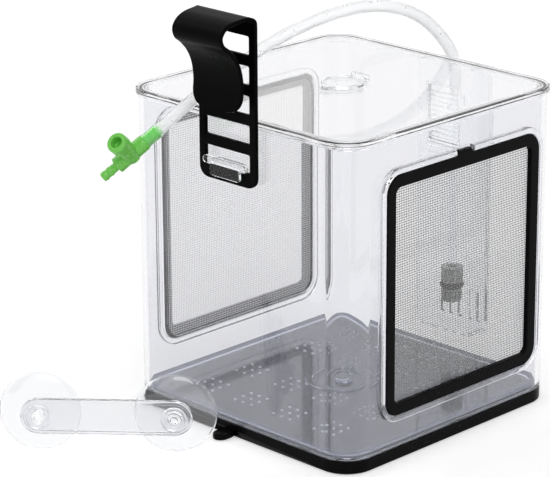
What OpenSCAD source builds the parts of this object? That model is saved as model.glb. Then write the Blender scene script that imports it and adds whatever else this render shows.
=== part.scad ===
// Fish breeding box: a clear tank that stands on a black tray, with a lifting lid,
// two black-framed mesh windows, an air-driven water lift on the back wall, a hanging
// bracket for the rim of an aquarium, and a bar with two suction cups beside it.
// The origin is the middle of the tray's underside; the bracket is on the -Y side.

/* [Tank] */
// Outside width of the tank, along X
tank_w = 150; // [140:1:170]
// Outside depth of the tank, along Y
tank_d = 150; // [140:1:170]
// Height of the tank's walls
tank_h = 154.7; // [150:0.1:165]
// Radius of the upright corners outside
tank_r = 15; // [12:0.5:20]
// Thickness of the clear walls
tank_t = 2.4; // [1.8:0.1:3]
// Width of the ledge that carries the floor plate
ledge_w = 4; // [3:0.1:6]
// Thickness of that ledge
ledge_t = 1.5; // [1:0.1:2]

/* [Base tray] */
// Height of the tray's outer wall
base_h = 6.5; // [5:0.1:9]
// Thickness of the tray's floor
base_floor_t = 2; // [1.5:0.1:3]
// Thickness of the tray's outer wall
base_wall_t = 3; // [2:0.1:3.5]
// Thickness of the rib that centres the tank
base_rib_t = 2; // [1.5:0.1:3]
// Height of that rib above the outer wall
base_rib_h = 1.2; // [0.8:0.1:1.4]
// Clearance between the rib and the tank's ledge
base_gap = 0.4; // [0.2:0.05:0.8]
// Width of the pull tongue
tongue_w = 8; // [6:0.5:14]
// Length of the pull tongue beyond the tray
tongue_l = 9.5; // [7:0.5:12]
// Thickness of the pull tongue
tongue_t = 3; // [2:0.1:4]
// Place of the pull tongue along X
tongue_x = -5; // [-30:1:30]

/* [Floor plate] */
// Thickness of the perforated plate
plate_t = 1.8; // [1.4:0.1:2.6]
// Clearance round the plate
plate_gap = 0.3; // [0.2:0.05:0.6]
// Diameter of a drain hole
drain_d = 1.6; // [1.2:0.1:2.4]
// Distance between the drain holes of a group
drain_pitch = 5.6; // [4:0.1:7]
// Diameter of the knob in the middle
boss_d = 12.6; // [10:0.2:16]
// Height of that knob
boss_h = 2; // [1:0.1:3]
// Outer diameter of the raised ring round the knob
ring_d = 36; // [30:0.5:42]
// Width of the raised ring
ring_w = 4; // [2:0.5:6]
// Height of the raised ring
ring_h = 0.8; // [0.5:0.1:1.5]

/* [Lid] */
// Thickness of the lid's panel
lid_t = 2.2; // [1.8:0.1:3]
// How far the lid stands out beyond the tank
lid_over = 1.4; // [1:0.1:2]
// Radius of the lid's corners
lid_r = 14.4; // [12:0.2:16]
// Height of the rim that hangs over the tank's edge
skirt_h = 1; // [0.8:0.1:2]
// Clearance between that rim and the tank
skirt_gap = 0.3; // [0.2:0.05:0.5]
// Height of the rib that centres the lid inside the tank
lid_rib_h = 2.7; // [2:0.1:5]
// Thickness of that rib
lid_rib_t = 1.6; // [1.2:0.1:2.5]
// Clearance between that rib and the tank
lid_rib_gap = 0.7; // [0.3:0.1:1]
// Diameter of the feeding hole
feed_hole_d = 18; // [14:0.5:19]

/* [Feeding cover] */
// Diameter of the cover
cover_d = 21.5; // [20.5:0.5:24]
// Thickness of the cover
cover_t = 1.9; // [1.4:0.1:2]
// Clearance under the cover
cover_gap = 0.1; // [0.05:0.05:0.2]
// Distance from the cover's edge to its hinge pin
hinge_reach = 1.65; // [1.5:0.05:3]
// Diameter of the hinge pin
hinge_pin_d = 1.6; // [1.2:0.1:1.7]
// Radius of the hinge ears and of the barrel between them
hinge_r = 1.5; // [1.3:0.1:1.6]
// Width of the barrel between the ears
hinge_w = 6.6; // [5:0.2:8]
// Thickness of a hinge ear
ear_t = 1.8; // [1.4:0.1:2.4]
// Side clearance between the barrel and an ear
ear_gap = 0.3; // [0.2:0.05:0.5]
// Running clearance round the hinge pin, on the radius
pin_gap = 0.05; // [0.03:0.01:0.08]
// How far the finger tab stands out
tab_l = 3; // [2:0.5:5]

/* [Mesh windows] */
// Width of the window frame
frame_w = 109; // [100:0.5:112]
// Height of the window frame
frame_h = 119.6; // [110:0.1:122]
// Width of the frame's bars
frame_bar = 6.3; // [5:0.1:8]
// Thickness of the frame
frame_t = 2.6; // [2:0.1:3.2]
// Radius of the frame's corners outside
frame_r = 9; // [7:0.5:10]
// Radius of the frame's opening
frame_in_r = 3.5; // [2.5:0.5:6]
// Height of the frame's lower edge above the tray
frame_low = 17.6; // [16:0.1:20]
// Place of both windows towards the back, from the middle of the wall
frame_y = 2.9; // [0:0.1:3]
// Clearance round the frame
frame_gap = 0.3; // [0.2:0.05:0.5]
// Thickness of the woven screen
mesh_t = 0.5; // [0.3:0.05:0.8]
// How far the screen's edge stays inside the frame's edge
mesh_inset = 1.5; // [1:0.1:1.7]
// Clearance between the screen and its ledge
mesh_gap = 0.1; // [0.05:0.05:0.2]
// How far the clear collar stands out of the wall
collar_h = 2.6; // [2:0.1:4]
// Thickness of the collar
collar_t = 2.8; // [1.2:0.1:2.9]
// How far the screen's ledge is sunk into the wall's face
collar_sink = 0.5; // [0.3:0.1:0.7]
// Width of that ledge under the frame
collar_ledge = 2.2; // [2:0.1:3]
// Width of the frame's finger tab at its root
ftab_w = 12; // [9:0.5:16]
// Height of the frame's finger tab
ftab_h = 2.5; // [2:0.1:4]
// How far each side of the tab slopes in
ftab_slope = 2; // [1:0.5:3]

/* [Hanging bracket] */
// Width of the bracket
bracket_w = 38.2; // [36:0.2:46]
// Height of the bracket, from its foot to its top bend
bracket_h = 83.3; // [80:0.1:90]
// Thickness of the bracket
bracket_t = 2.1; // [1.8:0.1:3]
// Gap between the bracket and the tank's wall
bracket_gap = 1.7; // [1.6:0.1:2.5]
// Radius of the bracket's foot corners
bracket_r = 5.5; // [3:0.5:8]
// Number of height slots
slots = 5; // [3:1:5]
// Distance from one slot to the next
slot_pitch = 14.3; // [14:0.1:14.6]
// Height of a slot
slot_h = 9; // [8:0.1:10]
// Width of a slot
slot_w = 29.6; // [28:0.1:31]
// Radius of a slot's corners
slot_r = 1; // [0.5:0.1:2]
// Height of the bar under the lowest slot
foot_h = 7.2; // [5:0.1:10]
// Width of the spring tongue
spring_w = 32.3; // [30:0.1:35]
// Radius of the tongue's lower corners
spring_r = 8; // [6:0.5:12]

/* [Wall hook] */
// Distance from the underside of the wall hook's arm to the tank's top edge
lug_drop = 22.4; // [20:0.1:27]
// Thickness of the arm
lug_t = 2.5; // [2:0.1:3]
// Width of the arm
lug_w = 19.6; // [18:0.1:24]
// Width of the cross bar
lug_bar_w = 29.4; // [26:0.1:34]
// Height of the cross bar
lug_bar_h = 3.8; // [2.5:0.1:4.5]
// Thickness of the cross bar and of the lip
lug_lip_t = 2; // [1.6:0.1:3]
// How far the lip hangs below the arm
lug_lip_h = 5.5; // [4:0.5:6]
// Clearance between the bracket and the lip
lug_gap = 0.3; // [0.2:0.1:1]
// Clearance between the arm and the slot's lower edge
lug_rest = 0.4; // [0.2:0.1:0.6]

/* [Water lift] */
// Place of the water lift along X
lift_x = 0.8; // [-10:0.2:10]
// Outside width of the duct
duct_w = 36; // [34:0.5:44]
// How far the duct stands out of the wall
duct_d = 17; // [15:0.5:20]
// Thickness of the duct's walls
duct_t = 2; // [1.5:0.1:2.5]
// Height of the joint between the intake box and the duct
duct_low = 58; // [52:0.5:64]
// Distance from the duct's top to the tank's top edge
duct_drop = 3.2; // [2:0.1:6]
// Height of the intake box's underside
intake_low = 16; // [10:0.5:24]
// Width of an intake slot
intake_slot = 3; // [2:0.1:4]
// Number of intake slots
intake_slots = 5; // [3:1:5]
// Height of the intake slots
intake_slot_h = 16; // [10:0.5:20]
// Width of the outlet in the tank's wall
outlet_w = 21.6; // [18:0.2:26]
// Height of the outlet
outlet_h = 30; // [26:0.5:34]
// Distance from the outlet's upper edge to the tank's top edge
outlet_drop = 13.6; // [11:0.1:18]
// Width of the outlet grille's border
grille_bar = 1.2; // [1:0.1:1.6]
// Number of slanted blades in the grille
blades = 10; // [7:1:11]
// Thickness of a blade
blade_t = 1; // [0.8:0.1:1.2]
// Slant of a blade in degrees
blade_tilt = 32; // [20:1:40]
// Clearance round the grille
grille_gap = 0.05; // [0.02:0.01:0.1]
// Width of the spout
spout_w = 16; // [12:0.5:20]
// Length of the spout's flat part
spout_l = 3.5; // [2:0.1:8]
// Outer radius of the spout's bend
spout_r = 3; // [2:0.1:5]
// Thickness of the spout
spout_t = 1.5; // [1:0.1:1.9]

/* [Air line] */
// Outside diameter of the stiff air pipe
pipe_d = 5; // [4:0.1:5.6]
// Bore of the stiff air pipe
pipe_bore = 3; // [2:0.1:3.4]
// Clearance between the nozzle's collar and the duct's back wall
nozzle_gap = 0.4; // [0.2:0.1:1]
// Clearance round the pipe, on the radius
pipe_gap = 0.05; // [0.02:0.01:0.1]
// Height of the pipe holder
holder_h = 6; // [4:0.5:8]
// Distance from the holder to the pipe's upper end
holder_drop = 2; // [1:0.5:6]
// Outside diameter of the holder's ring
holder_d = 9; // [7.5:0.1:10]
// Thickness of the holder's arm
holder_arm = 3; // [2:0.1:5]
// Diameter of the nozzle's sleeve
sleeve_d = 11.5; // [10:0.1:12.4]
// Height of the nozzle's sleeve
sleeve_h = 8.4; // [7:0.1:14]
// Diameter of the nozzle's collar
ncollar_d = 12.6; // [12:0.1:13.4]
// Height of the nozzle's collar
ncollar_h = 3.4; // [2:0.1:5]
// Height of the nozzle's lower end
nozzle_low = 31; // [26:0.1:34]
// Diameter of the nozzle's slotted cage
cage_d = 10.5; // [9:0.1:11.5]
// Height of the nozzle's slotted cage
cage_h = 7; // [6:0.1:10]
// Thickness of the cage's wall
cage_t = 1.4; // [1:0.1:2]
// Number of slots round the cage
cage_slots = 12; // [6:1:16]
// Width of a slot in the cage
cage_slot = 1.2; // [0.8:0.1:1.4]
// How deep the pipe is pushed into the sleeve
pipe_seat = 5; // [3:0.5:6]

/* [Air valve] */
// Diameter of the hose barbs
barb_d = 5; // [4.4:0.1:5.6]
// Length of a hose barb
barb_l = 8.6; // [7:0.1:10]
// Diameter of the valve's body
valve_d = 8; // [7:0.1:9]
// Length of the valve's body
valve_l = 18.6; // [17:0.1:20]
// Distance from the body's hose end to the branch
branch_at = 9.6; // [8:0.1:11]
// Diameter of the branch
branch_d = 9; // [8:0.1:9.6]
// Height of the branch above the valve's axis
branch_h = 8.6; // [7:0.1:10]
// Diameter of the knob
knob_d = 10.2; // [9.8:0.1:12]
// Height of the knob
knob_h = 6.4; // [5:0.1:9]
// Diameter of the hollow in the knob
knob_hollow = 5.6; // [4.5:0.1:7]
// Depth of the hollow in the knob
knob_depth = 4.6; // [3:0.1:4.8]
// Gap between the knob and the branch
knob_gap = 0.3; // [0.2:0.1:0.6]
// Diameter of the knob's needle
needle_d = 3; // [2.4:0.1:3.6]
// Running clearance round the needle, on the radius
needle_gap = 0.05; // [0.03:0.01:0.08]
// Number of grip ribs round the knob
knob_ribs = 18; // [12:1:24]
// Width of the groove between two ribs
knob_groove = 0.6; // [0.4:0.1:0.9]

/* [Suction bar] */
// Distance between the two cups
cup_gap = 65.5; // [60:0.5:75]
// Diameter of a cup
cup_d = 40; // [36:0.5:44]
// Depth of a cup
cup_depth = 6; // [5.6:0.1:8]
// Thickness of a cup at its middle
cup_t = 1.6; // [1.2:0.1:2.2]
// Thickness of a cup at its rim
cup_rim_t = 0.8; // [0.6:0.1:1.2]
// Diameter of a cup's neck
neck_d = 6.8; // [5:0.1:8]
// Diameter of a cup's head
head_d = 12.6; // [10:0.1:14]
// Height of a cup's head
head_h = 1.8; // [1.2:0.1:3]
// Diameter of the dimple in the head
dimple_d = 3; // [2:0.1:4]
// Height of the suction bar's ends
bar_w = 17.6; // [16:0.1:22]
// Thickness of the suction bar
bar_t = 3; // [2:0.1:4]
// Play along a cup's neck
neck_play = 0.1; // [0.05:0.05:0.3]
// Running clearance round a cup's neck, on the radius
neck_gap = 0.05; // [0.03:0.01:0.08]
// Place of the suction bar's middle along X
bar_x = -33.2; // [-40:0.1:-30]
// Place of the suction bar's middle along Y
bar_y = -128.3; // [-140:0.1:-126]
// Turn of the suction bar about the upright in degrees
bar_turn = 41.4; // [38:0.1:46]

/* [Hidden] */
$fn = 64;

// A little more than a cut needs, so that it passes right through
over = 1;

// Levels of the tank and the lid
top_z = base_h + tank_h;
lid_z = top_z + lid_t;
plate_z = base_h + ledge_t;
frame_z = base_h + frame_low + frame_h / 2;

// Half sizes of the tank and of its inside
half_w = tank_w / 2;
half_d = tank_d / 2;
in_w = tank_w - 2 * tank_t;
in_d = tank_d - 2 * tank_t;
in_r = tank_r - tank_t;
hole_w = in_w - 2 * ledge_w;
hole_d = in_d - 2 * ledge_w;
hole_r = in_r - ledge_w;

// The groups of drain holes: places of their middles, as shares of the plate
drain_x = [-0.284, -0.093, 0.093, 0.284];
drain_y = [-0.346, -0.152, 0.152, 0.346];

// The feeding cover's hinge
hinge_y = cover_d / 2 + hinge_reach;
hinge_z = lid_z + cover_gap + cover_t;

// The window's pocket and the hole through the wall
pocket_w = frame_w + 2 * frame_gap;
pocket_h = frame_h + 2 * frame_gap;
collar_w = pocket_w + 2 * collar_t;
collar_z = pocket_h + 2 * collar_t;
mesh_x = half_w - collar_sink + mesh_gap;
frame_x = mesh_x + mesh_t;

// The bracket and the wall hook
lug_z = top_z - lug_drop;
bracket_y = -half_d - bracket_gap;
bracket_z = lug_z - lug_rest - foot_h;
lip_y = bracket_y - bracket_t - lug_gap;

// The bracket's spring, as the middle line of the strip in Y and Z,
// from the plate's upper end over the aquarium's rim and down its outside
spring_line = [[0, -9], [0, -5], [-0.4, -2.6], [-2.4, -1.2], [-6.8, -1.3], [-12.4, -2],
               [-16.8, -3.9], [-19.2, -7.4], [-18.2, -11.4], [-14.4, -14.6], [-10.2, -19.4],
               [-7.4, -25.4], [-6.2, -33], [-6.8, -40], [-8.3, -46]];
// The level below which the strip has its tongue's width
spring_split = -10;
// Half of the strip's outline from above, as X and Y: it narrows past the top bend
spring_plan = [[bracket_w / 2, 2], [bracket_w / 2, -0.8], [spring_w / 2 + 0.9, -4.5],
               [spring_w / 2, -16], [spring_w / 2, -23], [0, -23]];

// The water lift
lift_y = half_d;
duct_top = top_z - duct_drop;
duct_in = duct_w - 2 * duct_t;
outlet_z = top_z - outlet_drop - outlet_h;
pipe_off = duct_d - duct_t - ncollar_d / 2 - nozzle_gap;
pipe_y = half_d + pipe_off;
nozzle_top = nozzle_low + cage_h + ncollar_h + sleeve_h;

// The valve: where the hose ends, and how its axis lies
valve_at = [-38.1, -95.7, 147.4];
valve_dip = 39.7;
valve_yaw = -127;
valve_roll = -39.6;

// The air hose: its diameter, the sides of its tube, and its route from the stiff
// pipe's end over the lid to the valve
hose_d = 6;
hose_sides = 10;
hose_route = [[0.8, 83.3, 141], [0.8, 83.3, 147], [0.8, 83.2, 153], [0.7, 82, 159],
              [0.3, 79.4, 165], [-0.5, 74.8, 171.8], [-1.5, 69, 178.2], [-2.8, 61, 185],
              [-4.2, 51, 190.6], [-5.8, 41, 194], [-7.4, 31, 196], [-9, 21, 196.8],
              [-10.6, 10.5, 196.4], [-12.2, 0, 195.2], [-13.8, -10.5, 193.2],
              [-15.4, -21, 190.6], [-16.8, -31.5, 187.5], [-17.9, -42, 183.9],
              [-18.9, -52, 179.8], [-20.2, -62, 175.2], [-22, -70.5, 170.8],
              [-24.4, -77, 166.9], [-28, -82.6, 161.6], [-32.2, -88, 155.6],
              [-35.8, -92.8, 150.4], [-38.1, -95.7, 147.4]];

// The level of the stiff pipe's upper end, where the hose begins
pipe_top = hose_route[0][2];

// Flat shape of a rectangle with round corners
module rounded(w, d, r) {
    square([w - 2 * r, d], center = true);
    square([w, d - 2 * r], center = true);
    for (x = [-1, 1], y = [-1, 1])
        translate([x * (w / 2 - r), y * (d / 2 - r)]) circle(r);
}

// Upright block with round corners, standing at a level
module slab(w, d, r, z, h) {
    translate([0, 0, z]) linear_extrude(h) rounded(w, d, r);
}

// Round-cornered block that lies against the right-hand wall, between two X values
module wall_slab(w, h, r, x0, x1) {
    translate([x0, frame_y, frame_z]) rotate([90, 0, 90]) linear_extrude(x1 - x0)
        rounded(w, h, r);
}

// A flat shape drawn in Y and Z, as long as a width along X
module along_x(w) {
    translate([-w / 2, 0, 0]) rotate([90, 0, 90]) linear_extrude(w) children();
}

// Moves a piece from the right-hand side to the left
module left_side() {
    mirror([1, 0, 0]) children();
}

module base_tray() color([0.06, 0.06, 0.07]) {
    difference() {
        union() {
            slab(tank_w, tank_d, tank_r, 0, base_h);
            translate([tongue_x - tongue_w / 2, -half_d - tongue_l + tongue_w / 2, 0])
                cube([tongue_w, tongue_l, tongue_t]);
            translate([tongue_x, -half_d - tongue_l + tongue_w / 2, 0])
                cylinder(d = tongue_w, h = tongue_t);
        }
        slab(tank_w - 2 * base_wall_t, tank_d - 2 * base_wall_t, tank_r - base_wall_t,
             base_floor_t, base_h);
    }
    difference() {
        slab(hole_w - 2 * base_gap, hole_d - 2 * base_gap, hole_r - base_gap,
             base_floor_t, base_h + base_rib_h - base_floor_t);
        slab(hole_w - 2 * base_gap - 2 * base_rib_t, hole_d - 2 * base_gap - 2 * base_rib_t,
             hole_r - base_gap - base_rib_t, base_floor_t, base_h + base_rib_h);
    }
}

// The clear collar of one window, before its pocket is cut
module collar() {
    wall_slab(collar_w, collar_z, frame_r + frame_gap + collar_t,
              half_w - tank_t, half_w + collar_h);
}

// What is cut away for one window: the hole, the frame's pocket and the tab's notch
module window_cut() {
    wall_slab(pocket_w - 2 * collar_ledge, pocket_h - 2 * collar_ledge,
              frame_r + frame_gap - collar_ledge, half_w - tank_t - over, half_w + collar_h);
    wall_slab(pocket_w, pocket_h, frame_r + frame_gap,
              half_w - collar_sink, half_w + collar_h + over);
    translate([half_w - collar_sink, frame_y - ftab_w / 2 - frame_gap, frame_z])
        cube([collar_h + collar_sink + over, ftab_w + 2 * frame_gap,
              frame_h / 2 + collar_t + 2 * frame_gap]);
}

module tank_shell() color([0.9, 0.94, 0.97, 0.3]) difference() {
    union() {
        slab(tank_w, tank_d, tank_r, base_h, tank_h);
        collar();
        left_side() collar();
    }
    slab(in_w, in_d, in_r, plate_z, tank_h);
    slab(hole_w, hole_d, hole_r, base_h - over, tank_h);
    window_cut();
    left_side() window_cut();
    translate([lift_x - outlet_w / 2, lift_y - tank_t - over, outlet_z])
        cube([outlet_w, tank_t + 2 * over, outlet_h]);
}

module floor_plate() color([0.85, 0.88, 0.9, 0.45]) {
    plate_w = in_w - 2 * plate_gap;
    plate_d = in_d - 2 * plate_gap;
    translate([0, 0, plate_z]) linear_extrude(plate_t) difference() {
        rounded(plate_w, plate_d, in_r - plate_gap);
        for (gx = drain_x, gy = drain_y, i = [-1:1], j = [-1:1])
            translate([gx * plate_w + i * drain_pitch, gy * plate_d + j * drain_pitch])
                circle(d = drain_d, $fn = 16);
    }
    translate([0, 0, plate_z]) {
        cylinder(d = boss_d, h = plate_t + boss_h);
        linear_extrude(plate_t + ring_h) difference() {
            circle(d = ring_d);
            circle(d = ring_d - 2 * ring_w);
        }
    }
}

module lid() color([0.9, 0.94, 0.97, 0.3]) difference() {
    union() {
        lid_w = tank_w + 2 * lid_over;
        lid_d = tank_d + 2 * lid_over;
        rib_w = in_w - 2 * lid_rib_gap;
        rib_d = in_d - 2 * lid_rib_gap;
        slab(lid_w, lid_d, lid_r, top_z, lid_t);
        difference() {
            slab(lid_w, lid_d, lid_r, top_z - skirt_h, skirt_h);
            slab(tank_w + 2 * skirt_gap, tank_d + 2 * skirt_gap,
                 lid_r - lid_over + skirt_gap, top_z - skirt_h - over, skirt_h + over);
        }
        difference() {
            slab(rib_w, rib_d, in_r - lid_rib_gap, top_z - lid_rib_h, lid_rib_h);
            slab(rib_w - 2 * lid_rib_t, rib_d - 2 * lid_rib_t,
                 in_r - lid_rib_gap - lid_rib_t, top_z - lid_rib_h - over, lid_rib_h + over);
        }
        for (s = [-1, 1]) translate([s * (hinge_w / 2 + ear_gap + ear_t / 2), 0, 0])
            along_x(ear_t) {
                translate([hinge_y - hinge_r, top_z]) square([2 * hinge_r, hinge_z - top_z]);
                translate([hinge_y, hinge_z]) circle(hinge_r);
            }
    }
    translate([0, 0, top_z - over]) cylinder(d = feed_hole_d, h = lid_t + 2 * over);
    along_x(hinge_w + 2 * ear_gap + 2 * ear_t + over)
        translate([hinge_y, hinge_z]) circle(hinge_pin_d / 2 + pin_gap);
}

module feed_cover() color([0.88, 0.92, 0.95, 0.5]) {
    low = lid_z + cover_gap;
    translate([0, 0, low]) {
        cylinder(d = cover_d, h = cover_t);
        translate([-hinge_w / 2, 0, 0]) cube([hinge_w, hinge_y, cover_t]);
        translate([-hinge_w / 2, -cover_d / 2 - tab_l, 0]) cube([hinge_w, cover_d / 2, cover_t]);
    }
    along_x(hinge_w) translate([hinge_y, hinge_z]) circle(hinge_r);
    along_x(hinge_w + 2 * ear_gap + 2 * ear_t) translate([hinge_y, hinge_z])
        circle(hinge_pin_d / 2);
}

// One window frame: a round-cornered ring with a finger tab on its upper bar
module frame() {
    difference() {
        wall_slab(frame_w, frame_h, frame_r, frame_x, frame_x + frame_t);
        wall_slab(frame_w - 2 * frame_bar, frame_h - 2 * frame_bar, frame_in_r,
                  frame_x - over, frame_x + frame_t + over);
    }
    translate([frame_x, frame_y, frame_z + frame_h / 2]) rotate([90, 0, 90])
        linear_extrude(frame_t)
        polygon([[-ftab_w / 2, -frame_bar / 2], [ftab_w / 2, -frame_bar / 2], [ftab_w / 2, 0],
                 [ftab_w / 2 - ftab_slope, ftab_h], [ftab_slope - ftab_w / 2, ftab_h],
                 [-ftab_w / 2, 0]]);
}

// One woven screen, a thin plate between the frame and the ledge of the collar
module screen() wall_slab(frame_w - 2 * mesh_inset, frame_h - 2 * mesh_inset,
                          frame_r - mesh_inset, mesh_x, frame_x);

module frame_right() color([0.05, 0.05, 0.06]) frame();

module mesh_right() color([0.7, 0.7, 0.68]) screen();

module frame_left() color([0.05, 0.05, 0.06]) left_side() frame();

module mesh_left() color([0.7, 0.7, 0.68]) left_side() screen();

// A point of the smooth curve through four points, at a share of the way
// from the second to the third
function bend(a, b, c, d, t) =
    0.5 * (2 * b + (c - a) * t + (2 * a - 5 * b + 4 * c - d) * pow(t, 2)
           + (3 * b - a - 3 * c + d) * pow(t, 3));

// The spring's middle line made smooth, with a few steps from each point to the next
function spring_curve(steps = 5) =
    let (p = spring_line, last = len(p) - 1)
    [for (i = [0:last - 1], s = [0:steps - (i == last - 1 ? 0 : 1)])
        bend(p[max(i - 1, 0)], p[i], p[i + 1], p[min(i + 2, last)], s / steps)];

// Direction of a line at one of its points, of length one
function heading(p, i) =
    let (v = p[min(i + 1, len(p) - 1)] - p[max(i - 1, 0)]) v / norm(v);

// One edge of a strip along a line, at a distance to its left
function strip_edge(p, h) =
    [for (i = [0:len(p) - 1]) let (u = heading(p, i)) p[i] + h * [-u[1], u[0]]];

module spring_strip() {
    line = spring_curve();
    outer = strip_edge(line, bracket_t / 2);
    inner = strip_edge(line, -bracket_t / 2);
    polygon(concat(outer, [for (i = [len(line) - 1:-1:0]) inner[i]]));
}

module hanger_bracket() color([0.06, 0.06, 0.07]) {
    plate_h = bracket_h + spring_line[0][1];
    translate([0, bracket_y, bracket_z]) rotate([90, 0, 0]) linear_extrude(bracket_t)
        difference() {
            intersection() {
                translate([0, plate_h]) rounded(bracket_w, 2 * plate_h, bracket_r);
                translate([-bracket_w / 2, 0]) square([bracket_w, plate_h]);
            }
            for (i = [0:slots - 1])
                translate([0, foot_h + slot_h / 2 + i * slot_pitch])
                    rounded(slot_w, slot_h, slot_r);
        }
    translate([0, bracket_y - bracket_t / 2, bracket_z + bracket_h]) intersection() {
        along_x(bracket_w) spring_strip();
        union() {
            translate([0, 0, spring_split]) linear_extrude(-spring_split + bracket_t)
                polygon(concat(spring_plan, [for (k = [len(spring_plan) - 2:-1:0])
                    [-spring_plan[k][0], spring_plan[k][1]]]));
            spring_h = spring_split - spring_line[len(spring_line) - 1][1] + bracket_t;
            translate([0, 0, spring_split - spring_h / 2 + spring_r / 2])
                rotate([90, 0, 0]) linear_extrude(2 * bracket_w, center = true)
                    rounded(spring_w, spring_h + spring_r, spring_r);
        }
    }
}

module wall_hook() color([0.88, 0.92, 0.95, 0.5]) {
    translate([-lug_w / 2, lip_y, lug_z]) cube([lug_w, -half_d - lip_y, lug_t]);
    translate([-lug_w / 2, lip_y - lug_lip_t, lug_z - lug_lip_h])
        cube([lug_w, lug_lip_t, lug_lip_h + lug_t]);
    translate([0, lip_y, lug_z + lug_bar_h / 2]) rotate([90, 0, 0]) linear_extrude(lug_lip_t) {
        square([lug_bar_w - lug_bar_h, lug_bar_h], center = true);
        for (s = [-1, 1]) translate([s * (lug_bar_w - lug_bar_h) / 2, 0]) circle(d = lug_bar_h);
    }
}

// Cross-section of the duct: three walls, open towards the tank
module duct_section() {
    translate([lift_x, lift_y + duct_d / 2]) difference() {
        square([duct_w, duct_d], center = true);
        translate([0, -duct_t]) square([duct_in, duct_d], center = true);
    }
}

module riser_duct() color([0.9, 0.94, 0.97, 0.35]) {
    translate([0, 0, duct_low]) linear_extrude(duct_top - duct_low) duct_section();
}

module intake_box() color([0.9, 0.94, 0.97, 0.35]) difference() {
    translate([lift_x - duct_w / 2, lift_y, intake_low])
        cube([duct_w, duct_d, duct_low - intake_low]);
    translate([lift_x - duct_in / 2, lift_y - over, intake_low + duct_t])
        cube([duct_in, duct_d - duct_t + over, duct_low]);
    for (i = [0:intake_slots - 1])
        translate([lift_x + (i - (intake_slots - 1) / 2) * 2 * intake_slot - intake_slot / 2,
                   lift_y + duct_d - duct_t - over, intake_low + 2 * duct_t])
            cube([intake_slot, duct_t + 2 * over, intake_slot_h]);
}

module outlet_grille() color([0.9, 0.94, 0.97, 0.45]) {
    grille_w = outlet_w - 2 * grille_gap;
    grille_h = outlet_h - 2 * grille_gap;
    mid_z = outlet_z + outlet_h / 2;
    pitch = (grille_h - 2 * grille_bar) / (blades + 1);
    translate([lift_x, lift_y, mid_z]) {
        rotate([90, 0, 0]) linear_extrude(tank_t) difference() {
            square([grille_w, grille_h], center = true);
            square([grille_w - 2 * grille_bar, grille_h - 2 * grille_bar], center = true);
        }
        intersection() {
            for (i = [0:blades - 1])
                translate([0, -tank_t / 2, (i - (blades - 1) / 2) * pitch])
                    rotate([blade_tilt, 0, 0])
                        cube([grille_w - grille_bar, 2 * tank_t, blade_t], center = true);
            translate([0, -tank_t / 2, 0]) cube([grille_w, tank_t, grille_h], center = true);
        }
    }
}

module outlet_spout() color([0.9, 0.94, 0.97, 0.45]) {
    wall_y = half_d - tank_t;
    bend_y = wall_y - spout_l;
    bend_z = outlet_z - spout_r;
    translate([lift_x, 0, 0]) along_x(spout_w) {
        translate([bend_y, outlet_z - spout_t]) square([spout_l, spout_t]);
        intersection() {
            translate([bend_y, bend_z]) difference() {
                circle(spout_r);
                circle(spout_r - spout_t);
            }
            translate([bend_y - spout_r, bend_z]) square(spout_r);
        }
    }
}

module pipe_holder() color([0.9, 0.94, 0.97, 0.45]) {
    translate([lift_x, pipe_y, pipe_top - holder_drop - holder_h]) difference() {
        union() {
            cylinder(d = holder_d, h = holder_h);
            translate([-holder_arm / 2, 0, 0])
                cube([holder_arm, duct_d - duct_t - pipe_off, holder_h]);
        }
        translate([0, 0, -over]) cylinder(r = pipe_d / 2 + pipe_gap, h = holder_h + 2 * over);
    }
}

module air_pipe() color([0.9, 0.94, 0.97, 0.5]) {
    pipe_low = nozzle_top - pipe_seat;
    translate([lift_x, pipe_y, pipe_low]) difference() {
        cylinder(d = pipe_d, h = pipe_top - pipe_low);
        translate([0, 0, -over]) cylinder(d = pipe_bore, h = pipe_top - pipe_low + 2 * over);
    }
}

module nozzle_sleeve() color([0.6, 0.62, 0.62]) {
    translate([lift_x, pipe_y, nozzle_top - sleeve_h]) difference() {
        cylinder(d = sleeve_d, h = sleeve_h);
        translate([0, 0, sleeve_h - pipe_seat])
            cylinder(r = pipe_d / 2 + pipe_gap, h = pipe_seat + over);
        translate([0, 0, -over]) cylinder(d = pipe_bore, h = sleeve_h + over);
    }
}

module nozzle_collar() color([0.35, 0.36, 0.36]) {
    translate([lift_x, pipe_y, nozzle_low + cage_h]) difference() {
        cylinder(d = ncollar_d, h = ncollar_h);
        translate([0, 0, -over]) cylinder(d = pipe_bore, h = ncollar_h + 2 * over);
    }
}

module nozzle_cage() color([0.45, 0.46, 0.46]) {
    translate([lift_x, pipe_y, nozzle_low]) difference() {
        cylinder(d = cage_d, h = cage_h);
        translate([0, 0, cage_t]) cylinder(d = cage_d - 2 * cage_t, h = cage_h);
        for (i = [0:cage_slots - 1]) rotate([0, 0, i * 360 / cage_slots])
            translate([cage_d / 2 - 2 * cage_t, -cage_slot / 2, cage_t])
                cube([3 * cage_t, cage_slot, cage_h - 2 * cage_t]);
    }
}

// A ring of points round a point of the hose, square to its direction
function hose_ring(i) =
    let (u = heading(hose_route, i), a = cross(u, [1, 0, 0]), e = a / norm(a), f = cross(u, e))
    [for (k = [0:hose_sides - 1]) let (w = k * 360 / hose_sides)
        hose_route[i] + hose_d / 2 * (cos(w) * e + sin(w) * f)];

module air_hose() color([0.93, 0.95, 0.95, 0.7]) {
    rings = len(hose_route);
    n = hose_sides;
    polyhedron(
        points = [for (i = [0:rings - 1]) each hose_ring(i)],
        faces = concat(
            [[for (k = [0:n - 1]) k]],
            [for (i = [0:rings - 2], k = [0:n - 1])
                [i * n + k, (i + 1) * n + k, (i + 1) * n + (k + 1) % n, i * n + (k + 1) % n]],
            [[for (k = [n - 1:-1:0]) (rings - 1) * n + k]]));
}

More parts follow.
